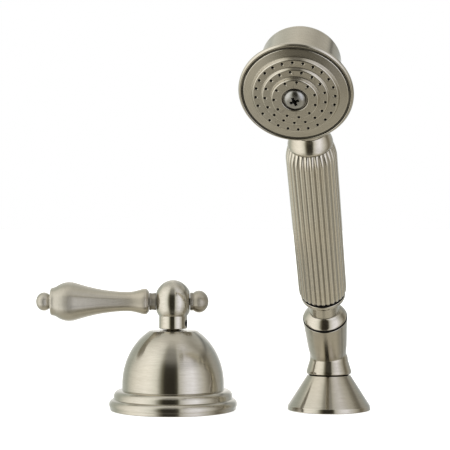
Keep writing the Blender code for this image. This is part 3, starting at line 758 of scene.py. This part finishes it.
# Faces of the groove round the face screw take the dark joint nickel: painted shade in the groove.
SCREW_RECESS_RADIUS, SCREW_RECESS_TOP = 6.5, 43.3
for polygon in face.data.polygons:
    reach = math.hypot(polygon.center.x, polygon.center.y)
    polygon.material_index = int(
        reach < SCREW_RECESS_RADIUS * MM and polygon.center.z < SCREW_RECESS_TOP * MM)
combine(face, "DIFFERENCE", made_of(hole_cutter, shadowed))
finish_piece(face, "hand_shower", "spray_face", "brushed_nickel")
face_seal = lathe("face_seal_ring", [(26.5, 38.2), (27.05, 38.2), (27.05, 36.8), (26.5, 36.8)],
                  HEAD, 160, 0.12)
# A brownish dark rubber for the face seal, lighter than the black rubber.
brownish_seal_rubber = moulded("brownish_seal_rubber", (0.045, 0.04, 0.027), (0.07, 0.062, 0.042), 0.6, 2600.0, 0.4,
                       (0.12, 0.11, 0.08), specular=0.3)
finish_piece(face_seal, "hand_shower", "face_seal", "black_rubber", brownish_seal_rubber)

screw = lathe(
    "face_screw_head",
    [(0.0, 45.4)] + flowing([(0.9, 45.38), (2.2, 45.26), (3.5, 45.0), (4.5, 44.5), (5.2, 43.7),
                             (5.5, 42.9)], 4)
    + [(5.5, 42.3, 0.15), (2.0, 42.3), (2.0, 28.0), (0.0, 28.0)], HEAD, 96)
made_of(screw, metal("screw_steel", **{
    **STEEL, "warm": (0.40, 0.39, 0.36), "cool": (0.36, 0.36, 0.35)}))
SLOT_TURN = math.radians(20)
slots = [
    tapered_bar("driver_slot", 5.6, 1.7, 46.2, 43.0, 0.6,
                HEAD @ turned_by(0, 0, turn + SLOT_TURN))
    for turn in (0.0, QUARTER)]
combine(screw, "DIFFERENCE", *(made_of(slot, shadowed) for slot in slots))
finish_piece(screw, "hand_shower", "face_screw", "plated_steel")

# ---------------------------------------------------------------- finishes of the CAD nodes kept
diverter_at = tuple(DIVERTER.translation)
holder_at = tuple(HOLDER.translation)
handset_at = tuple(HANDSET.translation)
handset_way = tuple((HANDSET.to_3x3() @ Vector((0, 0, 1))).normalized())
lever_at = tuple(LEVER.translation)
diverter_brass = metal("machined_brass_valve", **BRASS, origin=diverter_at)
# The stem is painted nearly black: painted shade in the narrow gap under the hub.
shaded_stem_brass = metal("brass_stem_painted_shade", warm=(0.11, 0.085, 0.05), cool=(0.09, 0.075, 0.05),
                   dark=(0.04, 0.03, 0.02), bright=(0.22, 0.17, 0.09), rough=0.42,
                   origin=diverter_at)
holder_brass = metal("machined_brass_shank", **BRASS, origin=holder_at)
tube_brass = metal("drawn_brass_tube", **BRASS, origin=handset_at, axis=handset_way, lines="long")
diverter_steel = metal("turned_steel_valve", **STEEL, origin=diverter_at)
holder_steel = metal("turned_steel_holder", **STEEL, origin=holder_at)
stud_steel = metal("turned_steel_stud", **STEEL, origin=lever_at, axis=(1, 0, 0))
ceramic = moulded("valve_ceramic", (0.86, 0.85, 0.82), (0.82, 0.815, 0.79), 0.22, 1400.0, 0.15,
                  (0.93, 0.92, 0.90))
plastic = moulded("white_plastic", (0.78, 0.78, 0.755), (0.74, 0.74, 0.72), 0.42, 1900.0, 0.25,
                  (0.88, 0.88, 0.86))
KEPT = {
    diverter_brass: ("valve_riser", "riser_nut", "cartridge_body", "bonnet_nut"),
    shaded_stem_brass: ("stem",),
    holder_brass: ("shank", "shank_nut"),
    tube_brass: ("water_tube",),
    diverter_steel: ("riser_washer", "stem_clip"),
    holder_steel: ("shank_washer", "swivel_clip"),
    stud_steel: ("lever_stud",),
    rubber: ("disc_seal", "stem_oring", "connector_washer"),
    ceramic: ("fixed_disc", "moving_disc"),
    plastic: ("cradle_liner", "check_valve", "flow_plate"),
}
for material, names in KEPT.items():
    for name in names:
        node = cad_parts[name]
        node.data.materials.clear()
        node.data.materials.append(material)

# ---------------------------------------------------------------- studio
scene = bpy.context.scene
scene.view_settings.view_transform = "Standard"
scene.view_settings.look = "None"


LIGHT = 1.06
STUDIO_CENTRE, STUDIO_RADIUS = (0.03, 0.07, 0.05), 2.6
FLOOR_RADIUS, FLOOR_GLOW = 30.0, 0.75

# The studio round the set, as brightness by direction.  Azimuth is counted in degrees from
# the front, positive to the right.  Two softboxes with soft falloff stand either side of a
# dark gap in front.  Dimmer walls stand at the sides, with a pale one behind.
SOFTBOXES = (
    (-180, (0.98, 0.98, 0.96)), (-162, (0.80, 0.81, 0.79)), (-148, (0.58, 0.61, 0.57)),
    (-125, (0.55, 0.58, 0.52)), (-105, (0.95, 0.94, 0.87)),
    (-90, (1.22, 1.20, 1.14)), (-65, (1.42, 1.40, 1.36)), (-52, (1.35, 1.34, 1.30)),
    (-42, (1.17, 1.18, 1.12)), (-36, (0.98, 0.98, 0.92)), (-30, (0.52, 0.52, 0.46)),
    (-25, (0.19, 0.18, 0.13)), (-18, (0.02, 0.015, 0.005)), (3, (0.012, 0.009, 0.003)),
    (10, (0.07, 0.065, 0.04)), (14.5, (0.70, 0.70, 0.66)), (25, (1.00, 1.01, 1.07)),
    (33, (1.17, 1.19, 1.31)), (47, (1.28, 1.30, 1.46)), (62, (0.90, 0.91, 0.95)),
    (75, (0.68, 0.67, 0.63)), (94, (0.21, 0.19, 0.15)), (103, (0.26, 0.24, 0.19)),
    (116, (0.46, 0.45, 0.42)), (148, (0.43, 0.46, 0.47)), (162, (0.78, 0.80, 0.80)),
    (180, (0.98, 0.98, 0.96)),
)
# The softboxes' share of that brightness by elevation in degrees.
SOFTBOX_HEIGHTS = (
    (-90, 1.0), (28, 1.0), (36, 0.92), (44, 0.68), (56, 0.58), (66, 0.42), (75, 0.10), (82, 0.0),
)
CEILING, FLOOR = (0.76, 0.75, 0.71), (0.56, 0.53, 0.45)
GAP_AZIMUTH = -0.14  # radians: the middle of the dark gap
SIDE_BLEND = 0.1  # radians: how softly right-hand settings begin at the front
RIGHT_DIMMING = 0.25  # the right softbox is dimmer high up
FRAME_EDGES, FRAME_EDGE_DEPTH = (31.0, -27.0), 0.4  # thin darker bands across the right softbox
GAP_ON_FLOOR = 0.8  # the gap's shade on the floor

bm = bmesh.new()
bmesh.ops.create_icosphere(bm, subdivisions=5, radius=STUDIO_RADIUS)
dome_mesh = bpy.data.meshes.new("studio_walls")
bm.to_mesh(dome_mesh)
bm.free()
dome = bpy.data.objects.new("studio_walls", dome_mesh)
dome.location = STUDIO_CENTRE
scene.collection.objects.link(dome)
g = Graph("studio_walls_glow")
parts = g.node("ShaderNodeSeparateXYZ", {
    "Vector": g.vector("NORMALIZE", g.node("ShaderNodeTexCoord").outputs["Object"])}).outputs
azimuth = g.sum("ARCTAN2", parts[0], g.sum("MULTIPLY", parts[1], -1.0))
height = g.sum("DEGREES", g.sum("ARCSINE", parts[2]))
round_light = g.ramp(g.sum("DEGREES", azimuth), SOFTBOXES)
upright = g.ramp(height, [(angle, (share,) * 3) for angle, share in SOFTBOX_HEIGHTS])
high_right = g.sum("MULTIPLY", g.span(azimuth, -SIDE_BLEND, SIDE_BLEND, 0.0, RIGHT_DIMMING),
                   g.span(height, 18.0, 42.0, 0.0, 1.0, "SMOOTHSTEP"))
light = g.vector("MULTIPLY", round_light, upright)
light = g.vector("SCALE", light, g.sum("SUBTRACT", 1.0, high_right))
for edge in FRAME_EDGES:
    frame_edge = g.span(g.sum("ABSOLUTE", g.sum("SUBTRACT", height, edge)),
                        1.0, 4.0, FRAME_EDGE_DEPTH, 0.0)
    frame_edge = g.sum("MULTIPLY", frame_edge,
                       g.span(azimuth, -SIDE_BLEND, SIDE_BLEND, 0.0, 1.0))
    light = g.vector("SCALE", light, g.sum("SUBTRACT", 1.0, frame_edge))
ceiling = g.sum("ADD", g.span(height, 31.0, 42.0, 0.0, 0.42, "SMOOTHSTEP"),
                g.span(height, 55.0, 84.0, 0.0, 0.58, "SMOOTHSTEP"))
light = g.vector("ADD", light, g.vector("SCALE", CEILING, ceiling))
in_gap = g.span(g.sum("ABSOLUTE", g.sum("ADD", azimuth, -GAP_AZIMUTH)),
                0.2, 0.7, GAP_ON_FLOOR, 0.0, "SMOOTHSTEP")
in_gap = g.sum("MULTIPLY", in_gap, g.span(height, -86.0, -62.0, 0.0, 1.0))
floor_light = g.vector("SCALE", FLOOR, g.sum("SUBTRACT", 1.0, in_gap))
below = g.span(height, -32.0, -54.0, 0.0, 1.0, "SMOOTHSTEP")
light = g.blend(below, light, floor_light)
g.feed(g.shader.inputs["Base Color"], colour(0, 0, 0))
g.feed(g.shader.inputs["Emission Color"], light)
g.shader.inputs["Emission Strength"].default_value = LIGHT
dome_mesh.materials.append(g.material)
dome.visible_camera = False
dome.visible_shadow = False

# The pale floor that the set stands on.
bm = bmesh.new()
bmesh.ops.create_circle(bm, cap_ends=True, segments=96, radius=FLOOR_RADIUS)
floor_mesh = bpy.data.meshes.new("pale_floor")
bm.to_mesh(floor_mesh)
bm.free()
floor = bpy.data.objects.new("pale_floor", floor_mesh)
floor.location = (*STUDIO_CENTRE[:2], 0.0)
scene.collection.objects.link(floor)
g = Graph("pale_floor")
cloud = g.noise(g.node("ShaderNodeTexCoord").outputs["Object"], 0.0, 9.0, 3.0)
g.feed(g.shader.inputs["Base Color"],
       g.blend(cloud, colour(0.80, 0.80, 0.79), colour(0.84, 0.84, 0.83)))
g.shader.inputs["Roughness"].default_value = 0.7
g.shader.inputs["Specular IOR Level"].default_value = 0.2
g.shader.inputs["Emission Color"].default_value = (1, 1, 1, 1)
g.shader.inputs["Emission Strength"].default_value = FLOOR_GLOW
floor.data.materials.append(g.material)
floor.visible_glossy = False
floor.visible_diffuse = False
floor.visible_shadow = False

world = bpy.data.worlds.new("studio")
scene.world = world
world.use_nodes = True
background = world.node_tree.nodes["Background"]
background.inputs["Color"].default_value = (1, 1, 1, 1)
background.inputs["Strength"].default_value = 1.0

camera = bpy.data.objects.new("camera", bpy.data.cameras.new("camera"))
camera.location = (0.0131, -0.852, 0.1107)
camera.rotation_euler = (math.pi / 2, 0, 0)
camera.data.lens = 122.96
camera.data.sensor_width = 36.0
camera.data.clip_start = 0.05
camera.data.clip_end = 100.0
scene.collection.objects.link(camera)
scene.camera = camera
